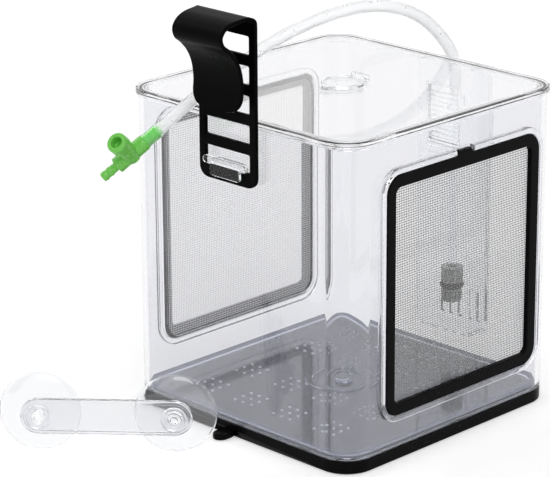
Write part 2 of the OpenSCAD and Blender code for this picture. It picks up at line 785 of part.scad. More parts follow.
// Puts a piece on the valve: X runs along the valve from the hose's end,
// and Z along the branch
module on_valve() {
    translate(valve_at) rotate([valve_roll, valve_dip, valve_yaw]) children();
}

module valve_body() color([0.35, 0.75, 0.3]) on_valve() difference() {
    union() {
        rotate([0, 90, 0]) cylinder(d = valve_d, h = valve_l);
        translate([-barb_l, 0, 0]) rotate([0, 90, 0]) cylinder(d = barb_d, h = barb_l + over);
        translate([valve_l - over, 0, 0]) rotate([0, 90, 0])
            cylinder(d = barb_d, h = barb_l + over);
        translate([branch_at, 0, 0]) cylinder(d = branch_d, h = branch_h);
    }
    translate([branch_at, 0, 0]) cylinder(r = needle_d / 2 + needle_gap, h = branch_h + over);
}

module valve_knob() color([0.45, 0.8, 0.4]) on_valve() translate([branch_at, 0, 0]) {
    knob_z = branch_h + knob_gap;
    translate([0, 0, knob_gap]) cylinder(d = needle_d, h = branch_h);
    translate([0, 0, knob_z]) difference() {
        cylinder(d = knob_d, h = knob_h);
        translate([0, 0, knob_h - knob_depth]) cylinder(d = knob_hollow, h = knob_depth + over);
        for (i = [0:knob_ribs - 1]) rotate([0, 0, i * 360 / knob_ribs])
            translate([knob_d / 2, 0, -over])
                cylinder(d = knob_groove, h = knob_h, $fn = 8);
    }
}

// Puts a piece on the suction bar: X runs along the bar, and Z out of the cups' hollow
module on_bar() {
    translate([bar_x, bar_y, cup_d / 2]) rotate([0, 0, bar_turn]) rotate([90, 0, 0]) children();
}

module suction_bar() color([0.88, 0.92, 0.95, 0.5]) on_bar() {
    translate([0, 0, cup_depth + neck_play]) linear_extrude(bar_t) difference() {
        union() {
            square([cup_gap, bar_w], center = true);
            for (s = [-1, 1]) translate([s * cup_gap / 2, 0]) circle(d = bar_w);
        }
        for (s = [-1, 1]) translate([s * cup_gap / 2, 0]) circle(neck_d / 2 + neck_gap);
    }
}

// One suction cup: a thin dish with a neck and a flat head, turned about Z
module cup() {
    steps = 12;
    dish = cup_depth - cup_t;
    outer = [for (i = [0:steps]) let (a = 90 * i / steps)
        [max(neck_d / 2, cup_d / 2 * cos(a)), cup_rim_t + (cup_depth - cup_rim_t) * sin(a)]];
    inner = [for (i = [steps:-1:0]) let (a = 90 * i / steps)
        [(cup_d / 2 - cup_rim_t) * cos(a), dish * sin(a)]];
    head_z = cup_depth + bar_t + 2 * neck_play;
    difference() {
        union() {
            rotate_extrude() polygon(concat([[cup_d / 2, 0]], outer, [[0, cup_depth]], inner));
            cylinder(d = neck_d, h = head_z + head_h);
            translate([0, 0, head_z]) cylinder(d = head_d, h = head_h);
        }
        translate([0, 0, head_z + head_h / 2]) cylinder(d = dimple_d, h = head_h);
        rotate_extrude() polygon(concat(inner, [[cup_d / 2, 0], [cup_d / 2, -over], [0, -over]]));
    }
}

module cup_right() color([0.88, 0.92, 0.95, 0.5]) on_bar() {
    translate([cup_gap / 2, 0, 0]) cup();
}

module cup_left() color([0.88, 0.92, 0.95, 0.5]) on_bar() {
    translate([-cup_gap / 2, 0, 0]) cup();
}

base_tray();
tank_shell();
floor_plate();
lid();
feed_cover();
frame_right();
mesh_right();
frame_left();
mesh_left();
hanger_bracket();
wall_hook();
riser_duct();
intake_box();
outlet_grille();
outlet_spout();
pipe_holder();
air_pipe();
nozzle_sleeve();
nozzle_collar();
nozzle_cage();
air_hose();
valve_body();
valve_knob();
suction_bar();
cup_right();
cup_left();
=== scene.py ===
import math

import bmesh
import bpy
from mathutils import Euler, Matrix, Vector


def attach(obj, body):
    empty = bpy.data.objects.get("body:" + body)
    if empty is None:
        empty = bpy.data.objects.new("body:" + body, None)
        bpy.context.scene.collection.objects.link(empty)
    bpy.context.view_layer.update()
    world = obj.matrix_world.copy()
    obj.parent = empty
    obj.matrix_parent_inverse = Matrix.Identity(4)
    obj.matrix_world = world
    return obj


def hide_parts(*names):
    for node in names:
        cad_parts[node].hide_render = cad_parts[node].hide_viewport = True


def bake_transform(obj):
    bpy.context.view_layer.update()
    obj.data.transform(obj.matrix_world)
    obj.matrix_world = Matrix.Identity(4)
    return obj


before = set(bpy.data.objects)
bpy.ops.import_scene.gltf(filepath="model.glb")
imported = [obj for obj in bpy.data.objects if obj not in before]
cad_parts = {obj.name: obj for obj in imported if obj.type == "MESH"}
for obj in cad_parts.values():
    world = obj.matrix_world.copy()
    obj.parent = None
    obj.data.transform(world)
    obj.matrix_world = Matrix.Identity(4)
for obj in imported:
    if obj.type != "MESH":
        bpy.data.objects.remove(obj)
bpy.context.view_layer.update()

mm = 0.001
scene = bpy.context.scene
scene.view_settings.view_transform = "Standard"

# Camera at the photograph's viewpoint: a long lens, a little above the lid, looking at
# the near corner between the bracket's wall and the right-hand window.
azimuth, elevation, roll = (math.radians(a) for a in (45.02, 18.55, -0.34))
back = Vector((math.sin(azimuth) * math.cos(elevation),
               -math.cos(azimuth) * math.cos(elevation), math.sin(elevation)))
level = Vector((math.cos(azimuth), math.sin(azimuth), 0))
upright = back.cross(level)
right = level * math.cos(roll) + upright * math.sin(roll)
up = upright * math.cos(roll) - level * math.sin(roll)
camera = bpy.data.objects.new("camera", bpy.data.cameras.new("camera"))
camera.data.lens, camera.data.sensor_width = 179.12, 36
camera.data.clip_start = 0.05
camera.matrix_world = Matrix((right, up, back)).transposed().to_4x4()
camera.location = Vector((888.1, -934.8, 517.0)) * mm
scene.collection.objects.link(camera)
scene.camera = camera

# The air hose: soft clear tube, 6 mm outside and 4 mm inside. It is pushed on the stiff
# pipe's end in the water lift, arches over the lid and is pushed over the valve's barb,
# where it is stretched a little wider and the green barb shows through it.
hose_r, hose_bore_r, hose_sides = 3.0, 2.0, 28
barb_reach, skin_stretch, bore_stretch = 9.0, 0.45, 0.6525
hose_route = [
    (0.8, 83.3, 141), (0.8, 83.3, 147), (0.8, 83.2, 153), (0.7, 82, 159),
    (0.3, 79.4, 165), (-0.5, 74.8, 171.8), (-1.5, 69, 178.2), (-2.8, 61, 185),
    (-4.2, 51, 190.6), (-5.8, 41, 194), (-7.4, 31, 196), (-9, 21, 196.8),
    (-10.6, 10.5, 196.4), (-12.2, 0, 195.2), (-13.8, -10.5, 193.2),
    (-15.4, -21, 190.6), (-16.8, -31.5, 187.5), (-17.9, -42, 183.9),
    (-18.9, -52, 179.8), (-20.2, -62, 175.2), (-22, -70.5, 170.8),
    (-24.4, -77, 166.9), (-28, -82.6, 161.6), (-32.2, -88, 155.6),
    (-35.8, -92.8, 150.4), (-38.1, -95.7, 147.4)]


def smooth_line(points, steps):
    """A smooth curve through points, with that many steps from each to the next."""
    p = [Vector(q) for q in points]
    line = []
    for i in range(len(p) - 1):
        a, b, c, d = p[max(i - 1, 0)], p[i], p[i + 1], p[min(i + 2, len(p) - 1)]
        for k in range(steps):
            t = k / steps
            line.append(0.5 * (2 * b + (c - a) * t + (2 * a - 5 * b + 4 * c - d) * t ** 2
                               + (3 * b - a - 3 * c + d) * t ** 3))
    return line + [p[-1]]


def loft(name, rings, closed=False):
    """A mesh skin over rings of points in millimetres. Its ends get flat caps, unless the
    last ring joins the first one again."""
    n, count = len(rings[0]), len(rings)
    mesh = bpy.data.meshes.new(name)
    faces = [(i * n + k, i * n + (k + 1) % n, (i + 1) % count * n + (k + 1) % n,
              (i + 1) % count * n + k)
             for i in range(count if closed else count - 1) for k in range(n)]
    if not closed:
        faces += [tuple(range(n))[::-1], tuple(range((count - 1) * n, count * n))]
    mesh.from_pydata([Vector(p) * mm for ring in rings for p in ring], [], faces)
    return linked(name, mesh)


def linked(name, mesh):
    """A mesh as an object in the scene, with its faces turned outwards."""
    work = bmesh.new()
    work.from_mesh(mesh)
    bmesh.ops.remove_doubles(work, verts=work.verts, dist=1e-7)
    bmesh.ops.recalc_face_normals(work, faces=work.faces)
    work.to_mesh(mesh)
    work.free()
    obj = bpy.data.objects.new(name, mesh)
    scene.collection.objects.link(obj)
    return obj


def tube_rings(line, radii, sides):
    """Circles of points round a line, carried along it without twist."""
    rings, side = [], Vector((1, 0, 0))
    for i, point in enumerate(line):
        along = (line[min(i + 1, len(line) - 1)] - line[max(i - 1, 0)]).normalized()
        side = (side - along * side.dot(along)).normalized()
        other = along.cross(side)
        rings.append([point + radii[i] * (math.cos(w) * side + math.sin(w) * other)
                      for w in (2 * math.pi * k / sides for k in range(sides))])
    return rings


def dress(obj, finish, body, slot, *nodes, sharp=32):
    """Smooths a finished piece but for its sharp edges, gives it its material, and puts it
    on its body in place of its CAD nodes."""
    obj.data.materials.clear()
    obj.data.materials.append(finish)
    obj.data.shade_smooth()
    obj.data.set_sharp_from_angle(angle=math.radians(sharp))
    weighted = obj.modifiers.new("even faces", "WEIGHTED_NORMAL")
    weighted.keep_sharp, weighted.weight = True, 100
    if body:
        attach(obj, body)
    if nodes:
        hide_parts(*nodes)
    return obj


def ranged(tree, value, low, high, to_low, to_high, ease="LINEAR"):
    """A node's output carried over from one range to another one."""
    made = tree.nodes.new("ShaderNodeMapRange")
    made.interpolation_type = ease
    tree.links.new(value, made.inputs["Value"])
    for socket, number in (("From Min", low), ("From Max", high),
                           ("To Min", to_low), ("To Max", to_high)):
        made.inputs[socket].default_value = number
    return made.outputs["Result"]


def plastic(name, colour, rough, grain=900, ripple=0.0, ripple_size=40, shade=0.0,
            rough_spread=0.3, **sockets):
    """A moulded plastic: an even colour with a slight cloud in it, a gloss that varies in
    small patches, and a faint ripple in the surface as the mould leaves it."""
    material = bpy.data.materials.new(name)
    material.use_nodes = True
    tree = material.node_tree
    tree.nodes.clear()
    out = tree.nodes.new("ShaderNodeOutputMaterial")
    bsdf = tree.nodes.new("ShaderNodeBsdfPrincipled")
    place = tree.nodes.new("ShaderNodeTexCoord")
    patches = tree.nodes.new("ShaderNodeTexNoise")
    patches.inputs["Scale"].default_value = grain
    patches.inputs["Detail"].default_value = 3
    tree.links.new(place.outputs["Object"], patches.inputs["Vector"])
    gloss = ranged(tree, patches.outputs["Fac"], 0.3, 0.7,
                   rough * (1 - rough_spread), rough * (1 + rough_spread))
    tree.links.new(gloss, bsdf.inputs["Roughness"])
    tint = tree.nodes.new("ShaderNodeMix")
    tint.data_type = "RGBA"
    tint.inputs[6].default_value = (*colour, 1)
    tint.inputs[7].default_value = (*(c * (1 - shade) for c in colour), 1)
    tree.links.new(patches.outputs["Fac"], tint.inputs[0])
    tree.links.new(tint.outputs[2], bsdf.inputs["Base Color"])
    if ripple:
        waves = tree.nodes.new("ShaderNodeTexNoise")
        waves.inputs["Scale"].default_value = ripple_size
        waves.inputs["Detail"].default_value = 1
        tree.links.new(place.outputs["Object"], waves.inputs["Vector"])
        bump = tree.nodes.new("ShaderNodeBump")
        bump.inputs["Strength"].default_value = 1
        bump.inputs["Distance"].default_value = ripple * mm
        tree.links.new(waves.outputs["Fac"], bump.inputs["Height"])
        tree.links.new(bump.outputs["Normal"], bsdf.inputs["Normal"])
    for socket, value in sockets.items():
        bsdf.inputs[socket.replace("_", " ")].default_value = value
    tree.links.new(bsdf.outputs["BSDF"], out.inputs["Surface"])
    return material


def lets_light_through(material, share=1.0):
    """Lets the lamps shine straight through a clear plastic, as thin clear walls do."""
    tree = material.node_tree
    out = next(n for n in tree.nodes if n.type == "OUTPUT_MATERIAL")
    bsdf = next(n for n in tree.nodes if n.type == "BSDF_PRINCIPLED")
    path = tree.nodes.new("ShaderNodeLightPath")
    clear = tree.nodes.new("ShaderNodeBsdfTransparent")
    clear.inputs["Color"].default_value = (share, share, share, 1)
    either = tree.nodes.new("ShaderNodeMixShader")
    tree.links.new(path.outputs["Is Shadow Ray"], either.inputs["Fac"])
    tree.links.new(bsdf.outputs["BSDF"], either.inputs[1])
    tree.links.new(clear.outputs["BSDF"], either.inputs[2])
    tree.links.new(either.outputs["Shader"], out.inputs["Surface"])
    return material


hose_line = smooth_line(hose_route, 5)
walked = [0.0]
for a, b in zip(hose_line, hose_line[1:]):
    walked.append(walked[-1] + (b - a).length)
pushed_on = [min(1, max(0, (s - walked[-1] + barb_reach) / 2 + 0.5)) for s in walked]
outside, inside = (
    tube_rings(hose_line, [r + stretch * share for share in pushed_on], hose_sides)
    for r, stretch in ((hose_r, skin_stretch), (hose_bore_r, bore_stretch)))
air_hose = loft("air_hose_tube", outside + inside[::-1], closed=True)
hose_clear = lets_light_through(plastic(
    "hose milky", (0.99, 0.995, 1.0), 0.3, grain=250, rough_spread=0.1, IOR=1.22,
    Transmission_Weight=0.72), 0.97)
hose_end = lets_light_through(plastic(
    "hose over the green barb", (0.52, 0.9, 0.48), 0.12, grain=250, IOR=1.3,
    Transmission_Weight=0.8), 0.9)
dress(air_hose, hose_clear, None, "hose", "air_hose")
air_hose.data.materials.append(hose_end)
for face in air_hose.data.polygons:
    if (face.center / mm - Vector(hose_route[-1])).length < barb_reach:
        face.material_index = 1
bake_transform(air_hose)

# The studio: a white floor that keeps the shadow and stays white far off, soft lamps, and a
# white room with darker gaps between its screens, which draw the lines on clear edges.
def calc(tree, operation, *values):
    """What a math node makes of numbers and of other nodes' outputs."""
    made = tree.nodes.new("ShaderNodeMath")
    made.operation = operation
    for value, socket in zip(values, made.inputs):
        if isinstance(value, bpy.types.NodeSocket):
            tree.links.new(value, socket)
        else:
            socket.default_value = value
    return made.outputs[0]


floor_mesh = bpy.data.meshes.new("floor")
floor_mesh.from_pydata([(-6, -6, 0), (6, -6, 0), (6, 6, 0), (-6, 6, 0)], [], [(0, 1, 2, 3)])
floor = linked("floor", floor_mesh)
floor.location.z = -0.0002
paper = bpy.data.materials.new("floor paper")
paper.use_nodes = True
tree = paper.node_tree
matt = tree.nodes["Principled BSDF"]
matt.inputs["Base Color"].default_value = (0.8, 0.8, 0.8, 1)
matt.inputs["Roughness"].default_value = 0.9
matt.inputs["Specular IOR Level"].default_value = 0.1
path = tree.nodes.new("ShaderNodeLightPath")
seen = calc(tree, "MAXIMUM", path.outputs["Is Camera Ray"], path.outputs["Is Transmission Ray"])
seen = calc(tree, "MAXIMUM", seen, path.outputs["Is Glossy Ray"])
spot = tree.nodes.new("ShaderNodeTexCoord")
away = tree.nodes.new("ShaderNodeVectorMath")
away.operation = "LENGTH"
tree.links.new(spot.outputs["Object"], away.inputs[0])
white = ranged(tree, away.outputs["Value"], 0.5, 2.5, 0.36, 0.62)
glow = tree.nodes.new("ShaderNodeEmission")
tree.links.new(calc(tree, "MULTIPLY", seen, white), glow.inputs["Strength"])
both = tree.nodes.new("ShaderNodeAddShader")
tree.links.new(matt.outputs["BSDF"], both.inputs[0])
tree.links.new(glow.outputs["Emission"], both.inputs[1])
tree.links.new(both.outputs["Shader"], tree.nodes["Material Output"].inputs["Surface"])
floor.data.materials.append(paper)

lamp_aim = Vector((0, 0, 0.08))
for place, size, power in (((0.85, -0.75, 1.2), 0.9, 7.5), ((-1.1, -0.2, 0.9), 0.8, 3.5),
                           ((0.3, 1.1, 1.1), 0.9, 3.5)):
    lamp = bpy.data.objects.new("soft lamp", bpy.data.lights.new("soft lamp", "AREA"))
    lamp.data.size, lamp.data.energy = size, power
    lamp.location = place
    lamp.rotation_mode = "QUATERNION"
    lamp.rotation_quaternion = (lamp_aim - Vector(place)).to_track_quat("-Z", "Y")
    scene.collection.objects.link(lamp)

gap_pairs, soft_light = 4, 0.5
room = bpy.data.worlds.new("studio room")
room.use_nodes = True
scene.world = room
tree = room.node_tree
ground = tree.nodes["Background"]
ground.inputs["Color"].default_value = (1, 1, 1, 1)
where = tree.nodes.new("ShaderNodeTexCoord")
split = tree.nodes.new("ShaderNodeSeparateXYZ")
tree.links.new(where.outputs["Generated"], split.inputs["Vector"])
turn = calc(tree, "ARCTAN2", split.outputs["Y"], split.outputs["X"])
wave = calc(tree, "COSINE", calc(tree, "MULTIPLY", turn, gap_pairs))
screens = ranged(tree, wave, 0.35, 0.8, 1.0, 0.06, ease="SMOOTHSTEP")
path = tree.nodes.new("ShaderNodeLightPath")
view = tree.nodes.new("ShaderNodeMix")
view.data_type = "FLOAT"
tree.links.new(calc(tree, "MAXIMUM", path.outputs["Is Glossy Ray"],
                    path.outputs["Is Transmission Ray"]), view.inputs[0])
view.inputs[2].default_value = soft_light
tree.links.new(screens, view.inputs[3])
tree.links.new(calc(tree, "MAXIMUM", view.outputs[0], path.outputs["Is Camera Ray"]),
               ground.inputs["Strength"])
scene.cycles.max_bounces = 40
scene.cycles.transmission_bounces = 36
scene.cycles.glossy_bounces = 24
scene.cycles.transparent_max_bounces = 32


# The base tray: one black moulding that closes the tank from below and catches the waste.
# A rib inside centres the tank's ledge, and a tongue at the front left pulls it off.
def fillet(profile, steps=3):
    """Rounds the corners of a profile of (inset, level, rounding, corner radius) rows and
    returns (inset, level, corner radius) rows. Open ends stay as they are."""
    rows, n = [], len(profile)
    for i, (a, b, r, corner) in enumerate(profile):
        here = Vector((a, b))
        if not r:
            rows.append((a, b, corner))
            continue
        to_last = (Vector(profile[i - 1][:2]) - here).normalized()
        to_next = (Vector(profile[(i + 1) % n][:2]) - here).normalized()
        half = to_last.angle(to_next) / 2
        middle = here + (to_last + to_next).normalized() * r / math.sin(half)
        start, end = (here + u * r / math.tan(half) - middle for u in (to_last, to_next))
        turn_by = start.angle(end)
        for k in range(steps + 1):
            t = k / steps
            arc = start * math.sin((1 - t) * turn_by) + end * math.sin(t * turn_by)
            rows.append((*(middle + arc / math.sin(turn_by)), corner))
    return rows


def outline(w, d, r, z=0, steps=10):
    """A rectangle with round corners, as points at one level."""
    r = max(r, 0.05)
    return [(sx * (w / 2 - r) + r * math.cos(turn + 0.5 * math.pi * k / steps),
             sy * (d / 2 - r) + r * math.sin(turn + 0.5 * math.pi * k / steps), z)
            for sx, sy, turn in ((1, 1, 0), (-1, 1, 0.5 * math.pi), (-1, -1, math.pi),
                                 (1, -1, 1.5 * math.pi))
            for k in range(steps + 1)]


def moulded(name, w, d, profile, closed=False, steps=3, corner_steps=10):
    """A moulding whose profile runs round a rectangle with round corners."""
    return loft(name, [outline(w - 2 * a, d - 2 * a, corner, b, corner_steps)
                       for a, b, corner in fillet(profile, steps)], closed)


def boolean(obj, operation, *tools):
    """Cuts tools out of a piece, or joins them to it."""
    for tool in tools:
        step = obj.modifiers.new("step", "BOOLEAN")
        step.object, step.operation, step.solver = tool, operation, "EXACT"
    made = bpy.data.meshes.new_from_object(
        obj.evaluated_get(bpy.context.evaluated_depsgraph_get()))
    obj.modifiers.clear()
    obj.data = made
    for tool in tools:
        bpy.data.objects.remove(tool)
    return obj


def shifted(obj, x, y, z):
    """Moves a piece's mesh by so many millimetres."""
    obj.data.transform(Matrix.Translation(Vector((x, y, z)) * mm))
    return obj


body_w = 150
base_tray = moulded("tray", body_w, body_w, [
    (14, 0, 0, 4), (0, 0, 0.7, 15), (0, 6.5, 0.5, 15), (3, 6.5, 0.4, 12), (3, 2, 0.5, 12),
    (6.8, 2, 0.5, 8.2), (6.8, 7.7, 0.5, 8.2), (8.8, 7.7, 0.5, 6.2), (8.8, 2, 0.5, 6.2),
    (14, 2, 0, 4)])
tongue = moulded("tongue", 8, 11.5, [(1.5, 0, 0, 2.5), (0, 0, 0.5, 4), (0, 3, 0.8, 4),
                                     (1.5, 3, 0, 2.5)])
boolean(base_tray, "UNION", shifted(tongue, -5, -78.75, 0))
black_gloss = plastic("black plastic", (0.0035, 0.0035, 0.004), 0.2, grain=1500, shade=0.3,
                      ripple=0.02, ripple_size=400, IOR=1.5, Specular_IOR_Level=0.04)
dress(base_tray, black_gloss, "base", "black_plastic", "base_tray")

# The tank: a clear moulded box without a floor, with a ledge for the floor plate at its
# foot. Round each window stands a collar whose pocket takes the frame, and the back wall
# is cut through for the outlet.
window_y, window_z = 2.9, 83.9
tank_top = 161.2


def on_wall(obj, side=1):
    """Turns a piece drawn flat, with its height as Z, to stand against the right-hand
    wall, or the left-hand one: its X becomes Y, its Y becomes Z and its height X."""
    turn = Matrix(((0, 0, side, 0), (1, 0, 0, window_y * mm), (0, 1, 0, window_z * mm),
                   (0, 0, 0, 1)))
    obj.data.transform(turn)
    if side < 0:
        obj.data.flip_normals()
    return obj


def block(name, low, high):
    """A plain block between two corners, for cutting."""
    (x0, y0, z0), (x1, y1, z1) = low, high
    return loft(name, [[(x0, y0, z), (x1, y0, z), (x1, y1, z), (x0, y1, z)] for z in (z0, z1)])


tank = moulded("tank", body_w, body_w, [
    (0, 6.5, 0.4, 15), (0, tank_top, 0.5, 15), (2.4, tank_top, 0.5, 12.6), (2.4, 8, 0.5, 12.6),
    (6.4, 8, 0.4, 8.6), (6.4, 6.5, 0.4, 8.6)], closed=True, corner_steps=16)
for side in (1, -1):
    boolean(tank, "UNION", on_wall(moulded("collar", 115.2, 125.8, [
        (5, 73.2, 0, 7.1), (0, 73.2, 0, 12.1), (0, 77.6, 0.8, 12.1), (5, 77.6, 0, 7.1)]), side))
    boolean(tank, "DIFFERENCE",
            on_wall(moulded("pocket", 109.6, 120.2, [
                (5, 74.5, 0, 4.3), (0, 74.5, 0, 9.3), (0, 77.6, 0.35, 9.3),
                (-0.9, 77.6, 0, 10.2), (-0.9, 79, 0, 10.2), (5, 79, 0, 4.3)]), side),
            on_wall(moulded("hole", 105.2, 115.8, [
                (5, 71, 0, 2.1), (-1, 71, 0, 8.1), (-1, 72.6, 0, 8.1), (0, 72.6, 0.4, 7.1),
                (0, 74.5, 0.3, 7.1), (-1, 74.5, 0, 8.1), (-1, 75, 0, 8.1), (5, 75, 0, 2.1)]),
                side),
            block("notch", (side * 74.5, window_y - 6.3, 139),
                  (side * 79, window_y + 6.3, 147.1)))
boolean(tank, "DIFFERENCE", block("outlet", (-10, 71, 117.6), (11.6, 77, 147.6)))
clear_plastic = lets_light_through(plastic(
    "clear plastic", (0.895, 0.897, 0.918), 0.02, ripple=0.03, ripple_size=35, IOR=1.49,
    Transmission_Weight=1.0), 0.97)
dress(tank, clear_plastic, "tank", "clear_plastic", "tank_shell")

# The floor plate: a loose clear false bottom on the tank's ledge. Groups of drain holes
# let waste fall into the tray, and a knob in a raised ring serves as its grip.
plate_w, plate_z, plate_t = 144.6, 8.0, 1.8
hole_r, hole_step, outer_row = 0.8, 5.6, 66


def circle(r, z, steps=12, at=(0, 0)):
    """A circle as points at one level."""
    return [(at[0] + r * math.cos(2 * math.pi * k / steps),
             at[1] + r * math.sin(2 * math.pi * k / steps), z) for k in range(steps)]


def pierced(name, rim, holes, z0, z1):
    """A flat plate inside a rim, with holes through it."""
    work = bmesh.new()
    for loop in [rim, *holes]:
        verts = [work.verts.new(Vector((p[0], p[1], z0)) * mm) for p in loop]
        for k, vert in enumerate(verts):
            work.edges.new((vert, verts[k - 1]))
    bmesh.ops.triangle_fill(work, use_beauty=True, edges=work.edges[:])
    bmesh.ops.dissolve_limit(work, angle_limit=0.01, verts=work.verts[:], edges=work.edges[:])
    made = bmesh.ops.extrude_face_region(work, geom=work.faces[:])
    lifted = [g for g in made["geom"] if isinstance(g, bmesh.types.BMVert)]
    bmesh.ops.translate(work, verts=lifted, vec=(0, 0, (z1 - z0) * mm))
    mesh = bpy.data.meshes.new(name)
    work.to_mesh(mesh)
    work.free()
    return linked(name, mesh)


holes = [circle(hole_r, 0, 10, (x * plate_w + i * hole_step, y * plate_w + j * hole_step))
         for x in (-0.284, -0.093, 0.093, 0.284) for y in (-0.346, -0.152, 0.152, 0.346)
         for i in (-1, 0, 1) for j in (-1, 0, 1)]
floor_plate = pierced("floor_plate_clear", outline(plate_w, plate_w, 12.3), holes,
                      plate_z, plate_z + plate_t)


def turned(name, profile, steps=40, closed=False, rounding=3):
    """A piece turned on a lathe: its profile gives (radius, level, rounding) rows."""
    rows = fillet([(a, b, r, 0) for a, b, r in profile], rounding)
    return loft(name, [circle(a, b, steps) for a, b, _ in rows], closed)


top = plate_z + plate_t
boolean(floor_plate, "UNION",
        turned("knob", [(2, top - 0.6, 0), (6.3, top - 0.6, 0), (6.3, top + 2, 0.6),
                        (5.2, top + 2, 0.3), (4.4, top + 1.6, 0.6), (2, top + 1.6, 0)]),
        turned("ring", [(14, top - 0.6, 0), (18, top - 0.6, 0), (18, top + 0.8, 0.35),
                        (14, top + 0.8, 0.35)], 64, closed=True))
plate_clear = lets_light_through(plastic(
    "floor plate clear", (0.7, 0.725, 0.83), 0.05, ripple=0.04, ripple_size=45, IOR=1.49,
    Transmission_Weight=0.95), 0.9)
frosted = plastic("frosted by the mould's pins", (0.82, 0.84, 0.9), 0.5, IOR=1.45)
dress(floor_plate, plate_clear, "floor_plate", "clear_plastic", "floor_plate")
floor_plate.data.materials.append(frosted)
for face in floor_plate.data.polygons:
    x, y, z = face.center / mm
    is_wall = abs(face.normal.z) < 0.5 and abs(z - plate_z - plate_t / 2) < 0.5
    if is_wall and max(abs(x), abs(y)) < outer_row:
        face.material_index = 1

# The two windows: a glossy black frame with a finger tab on its upper bar, which is
# pushed into the collar's pocket and holds a woven stainless screen behind it. The left
# screen is painted paler (painted light) and the right one darker (painted shade).
frame_back, frame_front = 75.1, 77.7
screen_half_w, screen_half_h, screen_corner, screen_level = 53.0, 58.3, 7.5, 74.85
wire_pitch, wire_half_w, wire_half_t, wire_lift = 1.2, 0.175, 0.13, 0.11
side_gap, end_gap = 0.4, 0.2
# One woven steel in two colours: painted light makes the left-hand screen paler, painted shade
# makes the right-hand one darker.
steel = {hand: plastic(name, colour, 0.36, grain=2500, shade=0.15, Metallic=metal)
         for hand, name, colour, metal in (
             ("right", "screen steel", (0.29, 0.29, 0.28), 0.9),
             ("left", "screen steel painted paler", (0.92, 0.92, 0.93), 0.25))}


def screen(name, side):
    """A woven screen: each wire passes over and under the wires that cross it."""
    verts, faces = [], []

    def reach(u, half_u, half_v):
        """How far a wire at u reaches before it meets the screen's round-cornered edge."""
        past = max(0, abs(u) - (half_u - screen_corner))
        return half_v - screen_corner + math.sqrt(max(screen_corner ** 2 - past ** 2, 0))

    for across in (False, True):
        half_u, half_v = ((screen_half_h, screen_half_w) if across
                          else (screen_half_w, screen_half_h))
        count = int((half_u - side_gap) / wire_pitch)
        for i in range(-count, count + 1):
            u = i * wire_pitch
            ends = int((reach(u, half_u, half_v) - end_gap) / wire_pitch)
            first = len(verts)
            for j in range(-ends, ends + 1):
                over = (1 if (i + j) % 2 else -1) * (1 if across else -1) * wire_lift
                for du, dz in ((wire_half_w, 0), (0, wire_half_t),
                               (-wire_half_w, 0), (0, -wire_half_t)):
                    a, b = (j * wire_pitch, u + du) if across else (u + du, j * wire_pitch)
                    verts.append(Vector((a, b, screen_level + over + dz)) * mm)
            for j in range(2 * ends):
                for k in range(4):
                    a, b = first + 4 * j + k, first + 4 * j + (k + 1) % 4
                    faces.append((a, b, b + 4, a + 4))
            faces.append(tuple(first + k for k in range(4)))
            faces.append(tuple(first + 8 * ends + k for k in range(4)))
    mesh = bpy.data.meshes.new(name)
    mesh.from_pydata(verts, [], faces)
    return on_wall(linked(name, mesh), side)


for side, hand in ((1, "right"), (-1, "left")):
    window = on_wall(moulded("frame_" + hand + "_black", 109, 119.6, [
        (0, frame_back, 0.2, 9), (0, frame_front, 0.7, 9), (6.3, frame_front, 0.7, 3.5),
        (6.3, frame_back, 0.2, 3.5)], closed=True, steps=4), side)
    tab = loft("tab", [
        [(s * (w - inset), y - (inset if y > 59 else 0), z)
         for s, w, y in ((-1, 6, 57), (1, 6, 57), (1, 6, 59.8), (1, 4, 62.3), (-1, 4, 62.3),
                         (-1, 6, 59.8))]
        for z, inset in ((frame_back, 0.2), (frame_back + 0.2, 0), (frame_front - 0.6, 0),
                         (frame_front - 0.2, 0.18), (frame_front, 0.6))])
    boolean(window, "UNION", on_wall(tab, side))
    dress(window, black_gloss, "window_" + hand, "black_plastic", "frame_" + hand)
    dress(screen("screen_" + hand + "_woven", side), steel[hand], "window_" + hand,
          "steel_mesh", "mesh_" + hand, sharp=80)

# The water lift on the back wall: a clear channel, its lower half with the inlet slots,
# the bladed grille and the spout in the outlet, and the holder of the air pipe.
lift_x, duct_y, duct_w, duct_d, duct_t = 0.8, 75.03, 36.0, 17.0, 2
clear_part = lets_light_through(plastic(
    "clear part plastic", (0.97, 0.98, 0.985), 0.05, ripple=0.03, ripple_size=60, IOR=1.49,
    Transmission_Weight=1.0), 0.95)
lift_clear = lets_light_through(plastic(
    "thin clear lift plastic", (0.97, 0.975, 0.985), 0.05, ripple=0.03, ripple_size=60,
    IOR=1.24, Transmission_Weight=1.0), 0.95)


def rounded_shape(points, steps=3):
    """A closed shape of (x, y, rounding) rows with its corners rounded."""
    return [(a, b) for a, b, _ in fillet([(*p, 0) for p in points], steps)]


x0, x1 = lift_x - duct_w / 2, lift_x + duct_w / 2
y0, y1 = duct_y, body_w / 2 + duct_d
channel = rounded_shape([
    (x0, y0, 0.3), (x0, y1, 1.2), (x1, y1, 1.2), (x1, y0, 0.3), (x1 - duct_t, y0, 0.3),
    (x1 - duct_t, y1 - duct_t, 0.6), (x0 + duct_t, y1 - duct_t, 0.6), (x0 + duct_t, y0, 0.3)])
duct = loft("lift_duct", [[(x, y, z) for x, y in channel] for z in (58.05, 158)])
dress(duct, lift_clear, "tank", "clear_part", "riser_duct")

